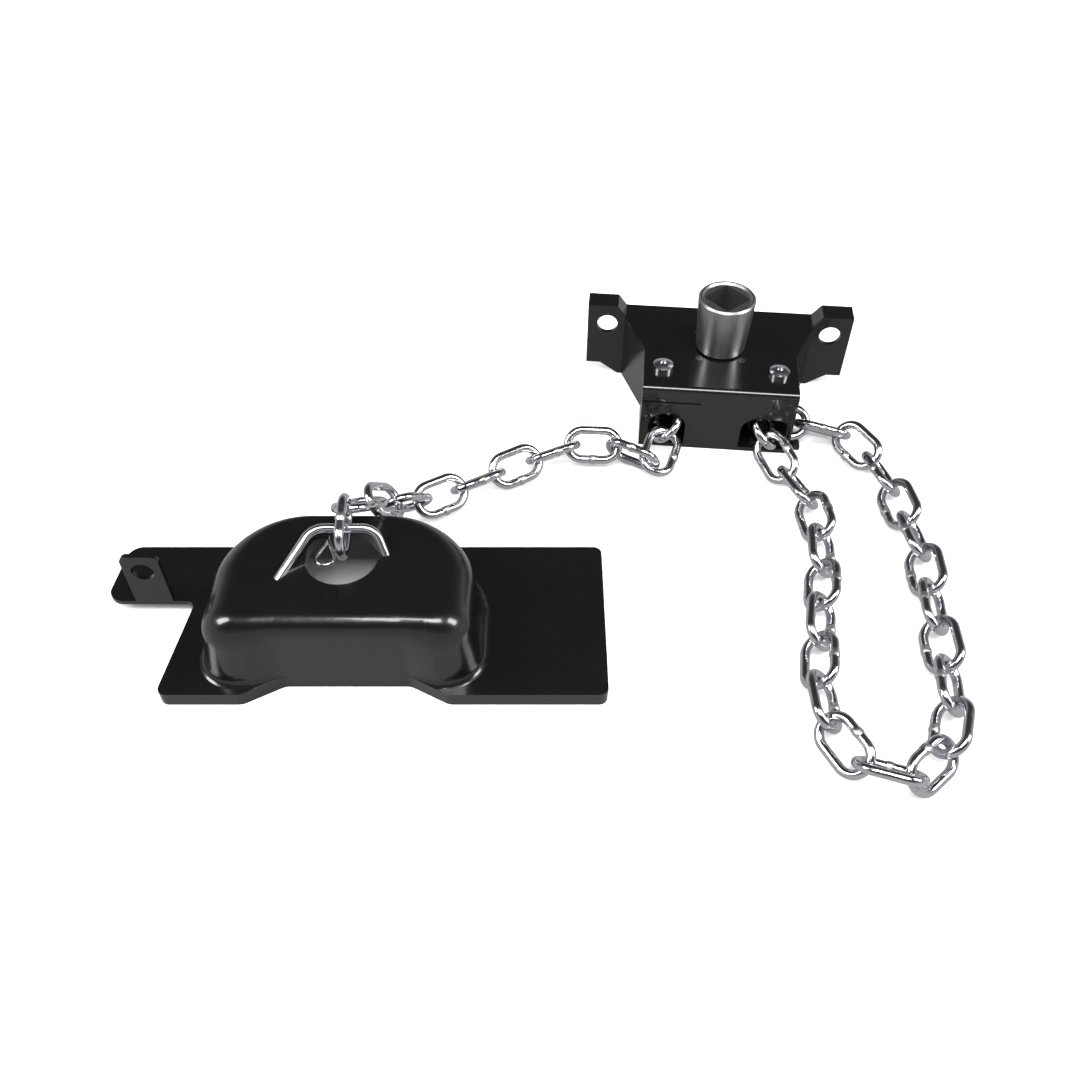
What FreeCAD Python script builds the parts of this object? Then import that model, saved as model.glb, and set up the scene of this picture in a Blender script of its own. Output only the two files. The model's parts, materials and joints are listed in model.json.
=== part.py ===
import FreeCAD, Part
import math
import os

V = FreeCAD.Vector
UP = V(0, 0, 1)

# Chain: short-link steel chain, wire and inside opening of one link
WIRE = 5.5
LINK_INSIDE_LENGTH = 28.5
LINK_WIDTH = 25.0
LINK_GAP = 0.35
WELD_BEAD = 0.5
WELD_LENGTH = 3.5
LINK_ROLL = 45.0
STEERING = 0.7

# Winch housing, in its own frame: the drive axis is at the origin
DRIVE_X = 123.0
DRIVE_Y = 134.0
HOUSING_YAW = -5.3
SHEET = 3.0
BOX_HALF_WIDTH = 51.0
BOX_FRONT = 49.0
FLARE_START = 8.0
WEB_Y = 28.0
WEB_HALF_WIDTH = 66.0
EAR_HALF_WIDTH = 92.0
EAR_TOP = 58.0
EAR_DEPTH = 15.0
EAR_FOOT = 9.0
EAR_FOOT_START = 3.0
EAR_FOOT_RUN = 13.0
EAR_JOGGLE = 6.0
EAR_LAP = 4.0
EAR_HOLE = 14.5
EAR_HOLE_SHIFT = 1.0
EAR_HOLE_DROP = 15.0
FOLD_RADIUS = 4.0
SLOT_X = 33.0
SLOT_LEFT_WIDTH = 25.0
SLOT_RIGHT_WIDTH = 33.0
SLOT_FLOOR = 3.0
SLOT_TOP = 28.5
SLOT_CORNER = 10.5
CREASE_LENGTH = 38.0
CREASE_HEIGHT = 1.2
CREASE_DEPTH = 0.8
CREASE_DROP = 11.0
FOOT_TAB = 8.0
FOOT_TAB_LENGTH = 15.0

# Fixings of the chain guide to the cover
SCREW_X = 38.5
SCREW_Y = -27.0
SCREW = 8.0
SCREW_HEAD = 13.5
SCREW_HEAD_HEIGHT = 4.6
NUT_FLATS = 13.0
NUT_HEIGHT = 6.5
GUIDE_SHEET = 3.0
GUIDE_SIDE_ROOM = 2.0
GUIDE_REAR = 19.5
GUIDE_FINGER_HALF = 13.0
GUIDE_FINGER_Y = 44.0
GUIDE_CLEARANCE = 0.2

# Drive train on the drive axis
SHAFT = 16.0
SOCKET_HEIGHT = 38.4
SOCKET_TOP = 38.0
SOCKET_FOOT = 33.0
SOCKET_SQUARE = 21.5
SOCKET_DEPTH = 31.0
SOCKET_CHAMFER = 1.2
BUSH_WALL = 3.0
BUSH_FLANGE = 5.0
BUSH_FLANGE_HEIGHT = 1.2
SOCKET_REST = 0.3
RUN_FIT = 0.05
RING_THICKNESS = 1.5
RING_WIDTH = 4.0
WASHER = 1.4
CHAIN_Z = 17.0
WHEEL_HALF = 11.0
WHEEL_RADIUS = 27.0
POCKET_COUNT = 6
POCKET_FIT = 0.5
CUP_FLOOR = 2.6
CUP_PIN_RADIUS = 31.0
CUP_PIN = 5.0
CUP_WALL = 3.5
LOBES = 13
ECCENTRICITY = 1.2
LOBE_FIT = 0.35
GEAR_HEIGHT = 8.0
ECCENTRIC = 24.0
SLEEVE_WALL = 2.0
REACTION_PIN = 5.0
REACTION_COUNT = 4
REACTION_RADIUS = 20.5
REACTION_FIT = 0.4
SPRING_OUTER = 34.0
SPRING_SHEET = 1.2
SPRING_ROOM = 8.05

# Carrier plate, in its own frame: the middle of the lifting bar is above the origin
PLATE_SHEET = 3.0
PLATE_HEIGHT = 9.5
PLATE_RIGHT = 146.5
PLATE_LEFT = 98.0
PLATE_REAR = 37.0
PLATE_FRONT = 72.0
PLATE_CORNER = 5.0
ARM_LENGTH = 45.0
ARM_WIDTH = 43.0
ARM_CORNER = 9.0
TAB_WIDTH = 22.0
TAB_OFFSET = 20.0
TAB_HEIGHT = 48.0
TAB_HOLE = 13.0
TAB_HOLE_DROP = 12.5
HUMP_LEFT = 84.0
HUMP_RIGHT = 82.0
HUMP_REAR = 29.0
HUMP_FRONT = 69.0
HUMP_HEIGHT = 55.0
HUMP_REAR_CORNER = 50.0
HUMP_FRONT_CORNER = 24.0
HUMP_FOOT = 6.0
HUMP_DRAFT = 3.0
HUMP_EDGE = 20.0
REAR_LEAN = 0.35
LOBE_LEAN = 0.6
MOUTH_LEAN = 0.3
REAR_CORNER_LEAN = 0.5
FRONT_CORNER_LEAN = 0.65
WALL_EDGE = 10.0
RECESS_DEPTH = 12.0
RECESS_WALL = 35.0
RECESS_MOUTH = 57.0
RECESS_CENTRE = 1.5
RECESS_FLARE = 4.0
RECESS_CORNER = 8.0
HOLE = 41.0
HOLE_X = -1.0
HOLE_Y = -11.0
RIM_DEPTH = 7.0
BAR = 5.0
BAR_HALF = 17.5
BAR_RISE = 11.0
BAR_PLACE = 16.0
BAR_BEND = 7.0
BAR_LEFT_FOOT = (-32.0, -23.0)
BAR_RIGHT_FOOT = (22.5, -8.0)
PIN_WIRE = 2.4
PIN_EYE = 13.0
PIN_EYE_LENGTH = 19.0
PIN_SHANK = 14.0
PIN_X = -11.0
PIN_DROP = 4.0

# Route of the run from the winch to the carrier: the contacts between links
RUN_ROUTE = [
    (75.5, 56, 11.8), (51, 69, 11.7), (23, 73, 12.2), (-3, 63, 11.7), (-28, 48.5, 11.2),
    (-52.5, 34, 11.7), (-76, 17.5, 15), (-87, 0.5, 34.5), (-98, -17.5, 54), (-109.3, -38, 70),
]
RUN_FIRST_ROLLS = [-20.0, 70.0]
RUN_END_SLOPE = 13.5
RUN_LAST_ROLL = 20.0

# Route of the slack loop from the winch's right slot round to its right wall
LOOP_ROUTE = [
    (161, 50, 11.4), (171, 25, 10.9), (174, -2, 10.9), (171, -29, 10.9), (166, -56, 10.9),
    (160, -83, 10.9), (155, -110, 10.9), (154, -137, 11.4), (164, -162, 11.9), (188, -174, 12.4),
    (210, -160, 12.4), (221, -135, 11.9), (226, -108, 11.4), (228, -80, 10.9), (231, -52, 10.9),
    (233, -24, 10.9), (231, 4, 10.9), (228, 32, 10.9), (221, 58, 11.4), (208.5, 81.5, 12.4),
    (184, 92.5, 14.4),
]

EAR_HOLE_X = (WEB_HALF_WIDTH + EAR_HALF_WIDTH) / 2 - EAR_HOLE_SHIFT
GUIDE_HALF_WIDTH = BOX_HALF_WIDTH - SHEET - GUIDE_SIDE_ROOM
HALF_LINK = (LINK_INSIDE_LENGTH + WIRE) / 2
BOW_RADIUS = (LINK_WIDTH - WIRE) / 2
PITCH = LINK_INSIDE_LENGTH - LINK_GAP
CONTACT = WIRE + LINK_GAP
BAR_HEIGHT = HUMP_HEIGHT + BAR_RISE
WHEEL_TOP = CHAIN_Z + WHEEL_HALF
GEAR_FLOOR = WHEEL_TOP + CUP_FLOOR + LOBE_FIT
GEAR_TOP = GEAR_FLOOR + GEAR_HEIGHT
COVER_FLOOR = GEAR_TOP + SPRING_ROOM
BOX_HEIGHT = COVER_FLOOR + SHEET


def cylinder(radius, z0, z1, x=0.0, y=0.0):
    return Part.makeCylinder(radius, z1 - z0, V(x, y, z0))


def tube(outer, inner, z0, z1, x=0.0, y=0.0):
    return cylinder(outer, z0, z1, x, y).cut(cylinder(inner, z0 - 1, z1 + 1, x, y))


def block(x0, x1, y0, y1, z0, z1):
    return Part.makeBox(x1 - x0, y1 - y0, z1 - z0, V(x0, y0, z0))


def prism(points, z0, z1):
    corners = [V(x, y, z0) for x, y in points]
    face = Part.Face(Part.makePolygon(corners + corners[:1]))
    return face.extrude(V(0, 0, z1 - z0))


def prism_y(points, y0, y1):
    corners = [V(x, y0, z) for x, z in points]
    face = Part.Face(Part.makePolygon(corners + corners[:1]))
    return face.extrude(V(0, y1 - y0, 0))


def fuse(shapes):
    return shapes[0].multiFuse(shapes[1:]).removeSplitter()


def mirrored(shape):
    return shape.mirror(V(0, 0, 0), V(1, 0, 0))


# Frames of the housing and of the links

def housing_placement():
    return FreeCAD.Placement(V(DRIVE_X, DRIVE_Y, 0), FreeCAD.Rotation(UP, HOUSING_YAW))


def housing_point(x, y, z):
    return housing_placement().multVec(V(x, y, z))


def unit(vector):
    return vector * (1.0 / vector.Length)


def link_frame(centre, along, roll):
    level = unit(UP.cross(along))
    raised = along.cross(level)
    angle = math.radians(roll)
    side = level * math.cos(angle) + raised * math.sin(angle)
    return {"centre": centre, "along": unit(along), "side": side}


def front_apex(link):
    return link["centre"] + link["along"] * HALF_LINK


def rear_apex(link):
    return link["centre"] - link["along"] * HALF_LINK


def next_link(link, along, roll):
    """Hang a link in the bow of another, with the chain gap between their wires."""
    along = unit(along)
    frame = link_frame(V(0, 0, 0), along, roll)
    apart = unit(frame["side"].cross(link["side"]))
    if apart.dot(link["along"] + along) < 0:
        apart = apart * -1
    frame["centre"] = front_apex(link) - apart * CONTACT + along * HALF_LINK
    return frame


def inner_contacts():
    """Contacts of the links inside the winch, from the left slot round the wheel to the right."""
    turn = math.radians(180.0 - 360.0 / POCKET_COUNT)
    x = PITCH * math.cos(turn)
    y = PITCH * math.sin(turn)
    slope = math.sqrt(PITCH ** 2 - (SLOT_X - PITCH) ** 2)
    left = [(-SLOT_X, -slope - PITCH), (-SLOT_X, -slope), (-PITCH, 0), (x, y)]
    return left + [(-px, py) for px, py in reversed(left)]


def inner_links():
    contacts = [housing_point(x, y, CHAIN_Z) for x, y in inner_contacts()]
    links = []
    for i, (a, b) in enumerate(zip(contacts, contacts[1:])):
        roll = LINK_ROLL if i % 2 else -LINK_ROLL
        links.append(link_frame((a + b) * 0.5, unit(b - a), roll))
    return links


def reversed_link(link):
    return {"centre": link["centre"], "along": link["along"] * -1, "side": link["side"] * -1}


def front_contact(link):
    return front_apex(link) - link["along"] * (CONTACT / 2)


def march(first, start, route, rolls):
    """Lay links along a route: each aims along its stretch and is steered back to it."""
    points = [start] + [V(*p) for p in route]
    links = []
    last = first
    for before, after, roll in zip(points, points[1:], rolls):
        ahead = unit(after - before)
        error = before - front_contact(last)
        aside = error - ahead * error.dot(ahead)
        last = next_link(last, after - before + aside * STEERING, roll)
        links.append(last)
    return links


def run_links():
    """The run: its climb is raised or lowered until its last link meets the bar's height."""
    first = reversed_link(inner_links()[0])
    start = housing_point(*inner_contacts()[0], CHAIN_Z)
    slope = math.radians(RUN_END_SLOPE)
    end = V(0, -math.cos(slope), -math.sin(slope))
    count = len(RUN_ROUTE)
    rolls = [LINK_ROLL if i % 2 else -LINK_ROLL for i in range(len(RUN_FIRST_ROLLS), count - 1)]
    rolls = RUN_FIRST_ROLLS + rolls + [RUN_LAST_ROLL if rolls[-1] < 0 else -RUN_LAST_ROLL, 90.0]
    lift = 0.0
    for _ in range(12):
        route = [(x, y, z + lift * max(0, i - count + 5) / 4.0) for i, (x, y, z) in enumerate(RUN_ROUTE)]
        links = march(first, start, route, rolls)
        links.append(next_link(links[-1], end, rolls[-1]))
        lift = lift + BAR_HEIGHT - bar_centre(links).z
    return links


def bar_centre(links):
    last = links[-1]
    return front_apex(last) - last["along"] * BAR_PLACE


def loop_links():
    first = inner_links()[-1]
    start = housing_point(*inner_contacts()[-1], CHAIN_Z)
    rolls = [-LINK_ROLL if i % 2 else LINK_ROLL for i in range(len(LOOP_ROUTE))]
    return march(first, start, LOOP_ROUTE, rolls)


def link_solid(link, wire=WIRE, bead=True):
    """Two legs and two half-round bows, with the weld bead on one leg."""
    bow = BOW_RADIUS
    straight = 2 * (HALF_LINK - bow)
    path = Part.Wire([
        Part.LineSegment(V(-straight / 2, bow, 0), V(straight / 2, bow, 0)).toShape(),
        Part.Arc(V(straight / 2, bow, 0), V(straight / 2 + bow, 0, 0), V(straight / 2, -bow, 0)).toShape(),
        Part.LineSegment(V(straight / 2, -bow, 0), V(-straight / 2, -bow, 0)).toShape(),
        Part.Arc(V(-straight / 2, -bow, 0), V(-straight / 2 - bow, 0, 0), V(-straight / 2, bow, 0)).toShape(),
    ])
    section = Part.Wire(Part.makeCircle(wire / 2, V(-straight / 2, bow, 0), V(1, 0, 0)))
    body = path.makePipe(section)
    body = Part.Solid(body.Shells[0]) if body.ShapeType != "Solid" else body
    if bead:
        collar = Part.makeCylinder(wire / 2 + WELD_BEAD, WELD_LENGTH, V(-WELD_LENGTH / 2, bow, 0), V(1, 0, 0))
        body = body.fuse(collar).removeSplitter()
    normal = link["along"].cross(link["side"])
    turn = FreeCAD.Matrix(
        link["along"].x, link["side"].x, normal.x, link["centre"].x,
        link["along"].y, link["side"].y, normal.y, link["centre"].y,
        link["along"].z, link["side"].z, normal.z, link["centre"].z,
        0, 0, 0, 1)
    body = body.copy()
    body.Placement = FreeCAD.Placement(turn)
    return body


# Winch housing

def plan_outline(inset=0.0, rear=WEB_Y + SHEET):
    half = BOX_HALF_WIDTH - inset
    right = [(half, -BOX_FRONT + inset), (half, -FLARE_START), (WEB_HALF_WIDTH - inset, WEB_Y)]
    right = right + [(WEB_HALF_WIDTH - inset, rear)]
    return right + [(-x, y) for x, y in reversed(right)]


def fold_profile():
    """Cover and front plate as one bent sheet, seen from the side."""
    outer = FOLD_RADIUS
    inner = FOLD_RADIUS - SHEET
    front = -BOX_FRONT
    top = BOX_HEIGHT
    rear = WEB_Y + EAR_DEPTH
    mid = math.sqrt(0.5)
    c_y = front + outer
    c_z = top - outer
    edges = [
        Part.LineSegment(V(0, rear, top), V(0, c_y, top)),
        Part.Arc(V(0, c_y, top), V(0, c_y - outer * mid, c_z + outer * mid), V(0, front, c_z)),
        Part.LineSegment(V(0, front, c_z), V(0, front, 0)),
        Part.LineSegment(V(0, front, 0), V(0, front + SHEET, 0)),
        Part.LineSegment(V(0, front + SHEET, 0), V(0, front + SHEET, c_z)),
        Part.Arc(V(0, front + SHEET, c_z), V(0, c_y - inner * mid, c_z + inner * mid), V(0, c_y, top - SHEET)),
        Part.LineSegment(V(0, c_y, top - SHEET), V(0, rear, top - SHEET)),
        Part.LineSegment(V(0, rear, top - SHEET), V(0, rear, top)),
    ]
    return Part.Face(Part.Wire([e.toShape() for e in edges]))


def chain_slot(x, width):
    half = width / 2
    y = -BOX_FRONT - 1
    opening = block(x - half, x + half, y, y + SHEET + 2, SLOT_FLOOR, SLOT_TOP)
    top = [e for e in opening.Edges
           if abs(e.BoundBox.ZMin - SLOT_TOP) < 0.01 and e.BoundBox.YLength > SHEET]
    return opening.makeFillet(SLOT_CORNER, top)


def ear_flange():
    """Top of the right ear, joggled up from the cover."""
    rear = WEB_Y + EAR_DEPTH
    step = WEB_HALF_WIDTH + EAR_JOGGLE
    return prism_y([
        (WEB_HALF_WIDTH - EAR_LAP, COVER_FLOOR), (WEB_HALF_WIDTH, COVER_FLOOR), (step, EAR_TOP - SHEET),
        (EAR_HALF_WIDTH, EAR_TOP - SHEET), (EAR_HALF_WIDTH, EAR_TOP), (step - 1, EAR_TOP),
        (WEB_HALF_WIDTH - 1, BOX_HEIGHT), (WEB_HALF_WIDTH - EAR_LAP, BOX_HEIGHT)], WEB_Y, rear)


def side_wall():
    """Right wall and the ear's upright web, bent from one sheet under the cover."""
    outer = plan_outline()[:3]
    inner = plan_outline(SHEET)[:3]
    front = -BOX_FRONT + FOLD_RADIUS
    points = [(x, max(y, front)) for x, y in outer]
    back = [(x, max(y, front)) for x, y in reversed(inner)]
    wall = prism(points + back, 0, COVER_FLOOR)
    foot = WEB_HALF_WIDTH + EAR_FOOT_START
    step = WEB_HALF_WIDTH + EAR_JOGGLE
    web = prism_y([
        (WEB_HALF_WIDTH - SHEET, 0), (foot, 0), (foot + EAR_FOOT_RUN, EAR_FOOT), (EAR_HALF_WIDTH, EAR_FOOT),
        (EAR_HALF_WIDTH, EAR_TOP - SHEET), (step, EAR_TOP - SHEET), (WEB_HALF_WIDTH, COVER_FLOOR),
        (WEB_HALF_WIDTH - SHEET, COVER_FLOOR)], WEB_Y, WEB_Y + SHEET)
    hole = Part.makeCylinder(EAR_HOLE / 2, 3 * SHEET, V(EAR_HOLE_X, WEB_Y - SHEET, EAR_TOP - EAR_HOLE_DROP),
                             V(0, 1, 0))
    return fuse([wall, web]).cut(hole)


def crease():
    """Short pressed line in the front plate, above the left slot."""
    top = BOX_HEIGHT - CREASE_DROP
    left = -BOX_HALF_WIDTH + CREASE_DEPTH
    return block(left, left + CREASE_LENGTH, -BOX_FRONT - 1, -BOX_FRONT + CREASE_DEPTH,
                 top - CREASE_HEIGHT, top)


def foot_tab():
    """Foot turned out of the right wall's lower edge."""
    right = BOX_HALF_WIDTH + FOOT_TAB
    front = -BOX_FRONT + FOLD_RADIUS
    return block(BOX_HALF_WIDTH, right, front, front + FOOT_TAB_LENGTH, 0, SHEET)


def mounting_bracket():
    folded = fold_profile().extrude(V(2 * WEB_HALF_WIDTH, 0, 0))
    folded.translate(V(-WEB_HALF_WIDTH, 0, 0))
    outline = prism(plan_outline(rear=WEB_Y + EAR_DEPTH), -1, BOX_HEIGHT + 1)
    folded = folded.common(outline)
    body = fuse([folded, ear_flange(), mirrored(ear_flange())])
    cuts = [chain_slot(-SLOT_X, SLOT_LEFT_WIDTH), chain_slot(SLOT_X, SLOT_RIGHT_WIDTH), crease()]
    cuts.append(cylinder(SHAFT / 2 + BUSH_WALL, COVER_FLOOR - 1, BOX_HEIGHT + 1))
    cuts = cuts + screw_bores(COVER_FLOOR - 1, BOX_HEIGHT + 1)
    cuts = cuts + [cylinder(REACTION_PIN / 2, COVER_FLOOR - 1, BOX_HEIGHT + 1, x, y)
                   for x, y in reaction_places()]
    return body.cut(Part.makeCompound(cuts))


def side_walls():
    right = fuse([side_wall(), foot_tab()])
    return [mirrored(side_wall()), right]


def screw_bores(z0, z1):
    return [cylinder(SCREW / 2 + RUN_FIT, z0, z1, side * SCREW_X, SCREW_Y) for side in (-1, 1)]


def base_plate():
    clearance = 0.05
    plate = prism(plan_outline(SHEET + clearance, rear=WEB_Y), 0, SHEET)
    return plate.cut(cylinder(SHAFT / 2 + BUSH_WALL, -1, SHEET + 1))


def chain_guide():
    top = COVER_FLOOR
    front = -BOX_FRONT + FOLD_RADIUS + GUIDE_CLEARANCE
    plate = block(-GUIDE_HALF_WIDTH, GUIDE_HALF_WIDTH, front, -GUIDE_REAR, top - GUIDE_SHEET, top)
    finger = block(-GUIDE_FINGER_HALF, GUIDE_FINGER_HALF, -GUIDE_FINGER_Y, -GUIDE_FINGER_Y + GUIDE_SHEET,
                   SHEET, top)
    body = fuse([plate, finger])
    clear = cylinder(REACTION_RADIUS + REACTION_PIN, top - GUIDE_SHEET - 1, top + 1)
    return body.cut(Part.makeCompound(screw_bores(top - GUIDE_SHEET - 1, top + 1))).cut(clear)


def cover_screw(x):
    head = Part.makeSphere(SCREW_HEAD, V(x, SCREW_Y, BOX_HEIGHT + SCREW_HEAD_HEIGHT - SCREW_HEAD))
    head = head.common(cylinder(SCREW_HEAD / 2, BOX_HEIGHT, BOX_HEIGHT + SCREW_HEAD_HEIGHT, x, SCREW_Y))
    recess = Part.makeCylinder(2.0, 3.0, V(x, SCREW_Y, BOX_HEIGHT + SCREW_HEAD_HEIGHT - 2.0))
    low = COVER_FLOOR - GUIDE_SHEET - NUT_HEIGHT - 0.5
    return head.fuse(cylinder(SCREW / 2, low, BOX_HEIGHT + 0.5, x, SCREW_Y)).cut(recess).removeSplitter()


def hexagon(flats, z0, z1, x, y):
    radius = flats / math.sqrt(3.0)
    points = [(x + radius * math.cos(math.radians(60 * k)), y + radius * math.sin(math.radians(60 * k)))
              for k in range(6)]
    return prism(points, z0, z1)


def cover_nut(x):
    top = COVER_FLOOR - GUIDE_SHEET
    nut = hexagon(NUT_FLATS, top - NUT_HEIGHT, top, x, SCREW_Y)
    return nut.cut(cylinder(SCREW / 2, top - NUT_HEIGHT - 1, top + 1, x, SCREW_Y))


def chain_anchor():
    """Staple on the right wall that holds the end of the slack loop."""
    last = loop_links()[-1]
    inward = housing_placement().Rotation.multVec(V(-1, 0, 0))
    staple = next_link(last, inward, LINK_ROLL if last["side"].z < 0 else -LINK_ROLL)
    apex = rear_apex(staple)
    local = housing_placement().inverse().multVec(apex)
    reach = local.x - BOX_HALF_WIDTH - BOW_RADIUS
    bow = staple["side"] * BOW_RADIUS
    along = staple["along"]
    hub = apex + along * BOW_RADIUS
    section = Part.Face(Part.Wire(Part.makeCircle(WIRE / 2, hub + bow, along)))
    bend = section.revolve(hub, along.cross(staple["side"]), 180)
    legs = [Part.makeCylinder(WIRE / 2, reach, hub + end, along) for end in (bow, -bow)]
    return fuse([bend] + legs).removeSplitter()


# Drive train

def reaction_places():
    step = 360.0 / REACTION_COUNT
    return [(REACTION_RADIUS * math.cos(math.radians(45 + step * k)),
             REACTION_RADIUS * math.sin(math.radians(45 + step * k))) for k in range(REACTION_COUNT)]


def reaction_pin(x, y):
    return cylinder(REACTION_PIN / 2, GEAR_FLOOR + 1, BOX_HEIGHT, x, y)


def drive_socket():
    foot = BOX_HEIGHT + BUSH_FLANGE_HEIGHT + SOCKET_REST
    top = foot + SOCKET_HEIGHT
    body = Part.makeCone(SOCKET_FOOT / 2, SOCKET_TOP / 2, SOCKET_HEIGHT, V(0, 0, foot))
    rim = [e for e in body.Edges if abs(e.BoundBox.ZMin - top) < 0.01 and e.BoundBox.ZLength < 0.01]
    body = body.makeChamfer(SOCKET_CHAMFER, rim)
    half = SOCKET_SQUARE / 2
    square = block(-half, half, -half, half, top - SOCKET_DEPTH, top + 1)
    square.rotate(V(0, 0, 0), UP, 45.0)
    lead = SOCKET_CHAMFER
    funnel = Part.makeCone(half * math.sqrt(2), half * math.sqrt(2) + lead, lead, V(0, 0, top - lead))
    return body.cut(square).cut(funnel).cut(cylinder(SHAFT / 2, foot - 1, top - SOCKET_DEPTH))


def drive_shaft():
    top = BOX_HEIGHT + BUSH_FLANGE_HEIGHT + SOCKET_REST + SOCKET_HEIGHT - SOCKET_DEPTH
    shaft = cylinder(SHAFT / 2 - RUN_FIT, 0.5, top)
    groove = tube(SHAFT, SHAFT / 2 - 1, ring_floor(), ring_floor() + RING_THICKNESS)
    return shaft.cut(groove)


def ring_floor():
    return COVER_FLOOR - RING_THICKNESS - 0.1


def retaining_ring():
    ring = tube(SHAFT / 2 + RING_WIDTH - 1, SHAFT / 2 - 1, ring_floor() + 0.05,
                ring_floor() + RING_THICKNESS - 0.05)
    return ring.cut(block(-2.5, 2.5, 0, SHAFT, ring_floor() - 1, ring_floor() + 3))


def top_bush():
    sleeve = tube(SHAFT / 2 + BUSH_WALL, SHAFT / 2, COVER_FLOOR, BOX_HEIGHT)
    collar = tube(SHAFT / 2 + BUSH_FLANGE, SHAFT / 2, BOX_HEIGHT, BOX_HEIGHT + BUSH_FLANGE_HEIGHT)
    return fuse([sleeve, collar])


def bottom_bush():
    return tube(SHAFT / 2 + BUSH_WALL, SHAFT / 2, 0, SHEET)


def thrust_washer():
    floor = SHEET + 0.1
    return tube(SHAFT / 2 + BUSH_FLANGE, SHAFT / 2 + RUN_FIT, floor, floor + WASHER)


def pocket(index):
    """Space of one link on the wheel, opened outwards so that the link can leave it."""
    step = math.radians(360.0 / POCKET_COUNT)
    angle = step * (index + 0.5)
    middle = PITCH * math.cos(step / 2)
    roll = -LINK_ROLL if index % 2 else LINK_ROLL
    long = HALF_LINK + WIRE / 2 + POCKET_FIT
    wide = LINK_WIDTH / 2 + POCKET_FIT
    thick = WIRE / 2 + POCKET_FIT
    pieces = []
    for shift in (0.0, thick, 2 * thick, 3 * thick, 4 * thick):
        slab = block(-long, long, -wide, wide, -thick, thick)
        slab.rotate(V(0, 0, 0), V(1, 0, 0), roll)
        slab.translate(V(0, -middle - shift, 0))
        slab.rotate(V(0, 0, 0), UP, math.degrees(angle) + 90.0)
        slab.translate(V(0, 0, CHAIN_Z))
        pieces.append(slab)
    return pieces


def lobe_places():
    return [(CUP_PIN_RADIUS * math.cos(2 * math.pi * k / LOBES),
             CUP_PIN_RADIUS * math.sin(2 * math.pi * k / LOBES)) for k in range(LOBES)]


def chain_wheel():
    """Pocket wheel with the lobed ring of the reduction gear on top."""
    low = SHEET + 0.1 + WASHER + 0.1
    blank = cylinder(WHEEL_RADIUS, low, WHEEL_TOP)
    for index in range(POCKET_COUNT):
        blank = blank.cut(Part.makeCompound(pocket(index)[:1]))
        for piece in pocket(index)[1:]:
            blank = blank.cut(piece)
    inner = CUP_PIN_RADIUS + CUP_PIN / 2 - 1.2
    outer = inner + CUP_WALL
    cup = cylinder(outer, WHEEL_TOP, GEAR_TOP).cut(cylinder(inner, GEAR_FLOOR - LOBE_FIT, GEAR_TOP + 1))
    lobes = [cylinder(CUP_PIN / 2, WHEEL_TOP, GEAR_TOP, x, y) for x, y in lobe_places()]
    core = cylinder(SHAFT / 2 + BUSH_FLANGE, low, WHEEL_TOP + CUP_FLOOR)
    body = fuse([blank, cup, core] + lobes)
    return body.cut(cylinder(SHAFT / 2, low - 1, GEAR_TOP + 1))


def eccentric_point():
    return ECCENTRICITY, 0.0


def eccentric():
    x, y = eccentric_point()
    cam = cylinder(ECCENTRIC / 2, GEAR_FLOOR, GEAR_TOP, x, y)
    return cam.cut(cylinder(SHAFT / 2, GEAR_FLOOR - 1, GEAR_TOP + 1))


def gear_sleeve():
    x, y = eccentric_point()
    inner = ECCENTRIC / 2 + RUN_FIT
    return tube(inner + SLEEVE_WALL, inner, GEAR_FLOOR, GEAR_TOP, x, y)


def cycloid_point(t):
    roller = CUP_PIN / 2 + LOBE_FIT
    share = CUP_PIN_RADIUS / (ECCENTRICITY * LOBES)
    psi = math.atan2(math.sin((1 - LOBES) * t), share - math.cos((1 - LOBES) * t))
    x = CUP_PIN_RADIUS * math.cos(t) - roller * math.cos(t + psi) - ECCENTRICITY * math.cos(LOBES * t)
    y = -CUP_PIN_RADIUS * math.sin(t) + roller * math.sin(t + psi) + ECCENTRICITY * math.sin(LOBES * t)
    return x, y


def cycloid_gear():
    """Lobed disc that rolls inside the wheel's ring, one lobe fewer than the ring has."""
    cx, cy = eccentric_point()
    count = 12 * (LOBES - 1)
    points = []
    for k in range(count):
        x, y = cycloid_point(2 * math.pi * k / count)
        points.append(V(x + cx, y + cy, GEAR_FLOOR))
    curve = Part.BSplineCurve()
    curve.interpolate(points, PeriodicFlag=True)
    face = Part.Face(Part.Wire(curve.toShape()))
    body = face.extrude(V(0, 0, GEAR_HEIGHT))
    bore = ECCENTRIC / 2 + RUN_FIT + SLEEVE_WALL
    cuts = [cylinder(bore, GEAR_FLOOR - 1, GEAR_TOP + 1, cx, cy)]
    hole = REACTION_PIN / 2 + ECCENTRICITY + REACTION_FIT
    cuts = cuts + [cylinder(hole, GEAR_FLOOR - 1, GEAR_TOP + 1, x + cx, y + cy)
                   for x, y in reaction_places()]
    return body.cut(Part.makeCompound(cuts))


def cone_spring():
    """Dished washer between the eccentric and the cover."""
    inner = SHAFT / 2 + RUN_FIT
    low = GEAR_TOP + RUN_FIT
    high = COVER_FLOOR - RUN_FIT
    outer = SPRING_OUTER / 2
    profile = [(inner, low), (inner + 3, low), (outer, high - SPRING_SHEET), (outer, high),
               (outer - 0.5, high), (inner, low + SPRING_SHEET)]
    corners = [V(x, 0, z) for x, z in profile]
    face = Part.Face(Part.makePolygon(corners + corners[:1]))
    return face.revolve(V(0, 0, 0), UP, 360)


# Carrier plate

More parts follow.
